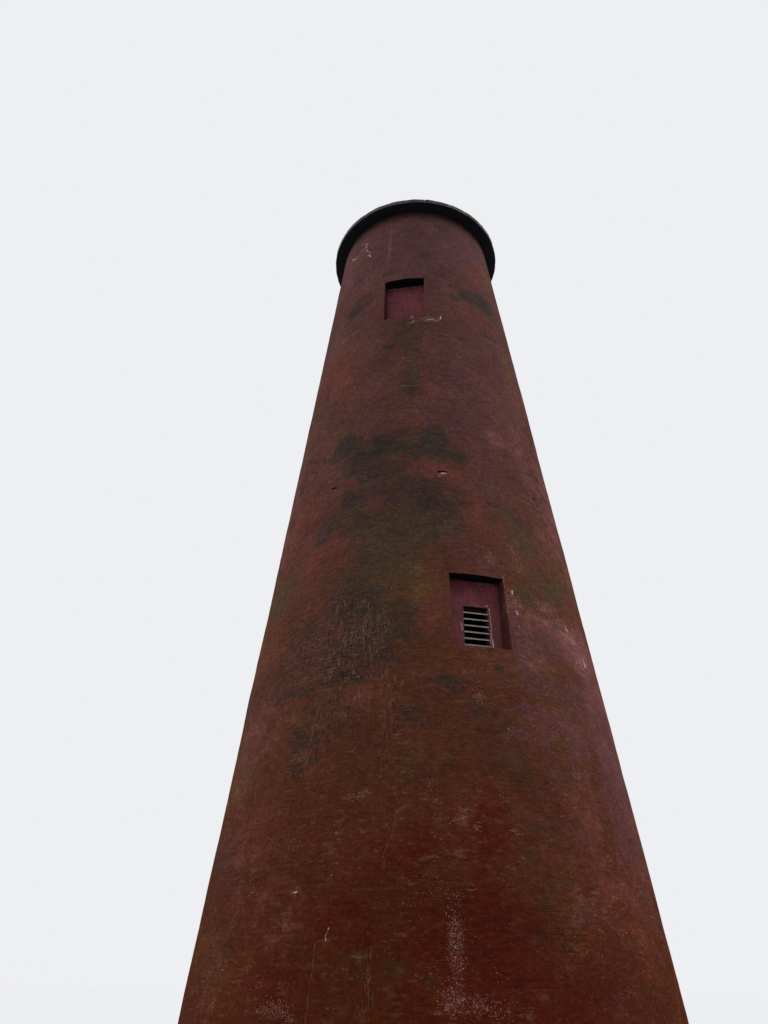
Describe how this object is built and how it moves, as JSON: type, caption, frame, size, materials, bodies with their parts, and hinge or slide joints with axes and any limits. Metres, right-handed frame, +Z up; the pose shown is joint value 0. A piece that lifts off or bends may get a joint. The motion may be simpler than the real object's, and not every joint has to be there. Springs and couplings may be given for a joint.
{
  "type": "lighthouse tower",
  "caption": "Round battered brick lighthouse tower without its lantern, with blocked windows, a louvred vent and an oversailing stone deck.",
  "frame": {"origin": "centre of the tower's round base, on the ground", "axes": "+Z up along the tower's axis, -Y towards the side with the two windows that is seen from the front, +X to the right of it"},
  "size_m": [8.84, 8.84, 20.081],
  "materials": {
    "limewashed_brick": "brickwork under thick red limewash, algae-stained and flaking",
    "panel_render": "smooth lime render with rose-red wash",
    "bare_brick": "bare brickwork",
    "deck_stone": "dark grey stone, weathered, moss on the edge",
    "floor_timber": "old sawn timber",
    "vent_metal": "pale weathered paint on sheet metal",
    "door_wood": "dark weathered paint on planks",
    "hinge_iron": "rusted black iron",
    "cover_copper": "sheet copper, dull brown-green"
  },
  "bodies": {
    "root": {"crown_vault": "bare_brick", "deck_stone_1": "deck_stone", "deck_stone_2": "deck_stone", "deck_stone_3": "deck_stone", "deck_stone_4": "deck_stone", "deck_stone_5": "deck_stone", "deck_stone_6": "deck_stone", "deck_stone_7": "deck_stone", "deck_stone_8": "deck_stone", "door_frame": "door_wood", "door_hinges": "hinge_iron", "door_leaf": "door_wood", "doorstep": "deck_stone", "ground_floor": "bare_brick", "ground_wall_1": "limewashed_brick", "ground_wall_2": "limewashed_brick", "ground_wall_3": "limewashed_brick", "ground_wall_4": "limewashed_brick", "ground_wall_5": "limewashed_brick", "lower_back_panel": "panel_render", "lower_front_panel": "panel_render", "middle_floor_boards": "floor_timber", "middle_floor_joists": "floor_timber", "middle_wall_1": "limewashed_brick", "middle_wall_2": "limewashed_brick", "middle_wall_3": "limewashed_brick", "middle_wall_4": "limewashed_brick", "middle_wall_5": "limewashed_brick", "middle_wall_6": "limewashed_brick", "scuttle_cover": "cover_copper", "scuttle_curb": "deck_stone", "upper_back_panel": "panel_render", "upper_floor_boards": "floor_timber", "upper_floor_joists": "floor_timber", "upper_front_panel": "panel_render", "upper_wall_1": "limewashed_brick", "upper_wall_2": "limewashed_brick", "upper_wall_3": "limewashed_brick", "upper_wall_4": "limewashed_brick", "upper_wall_5": "limewashed_brick", "upper_wall_6": "limewashed_brick", "vent_blades": "vent_metal", "vent_frame": "vent_metal", "wall_left_of_door": "limewashed_brick", "wall_over_door": "limewashed_brick", "wall_right_of_door": "limewashed_brick"}
  },
  "joints": []
}
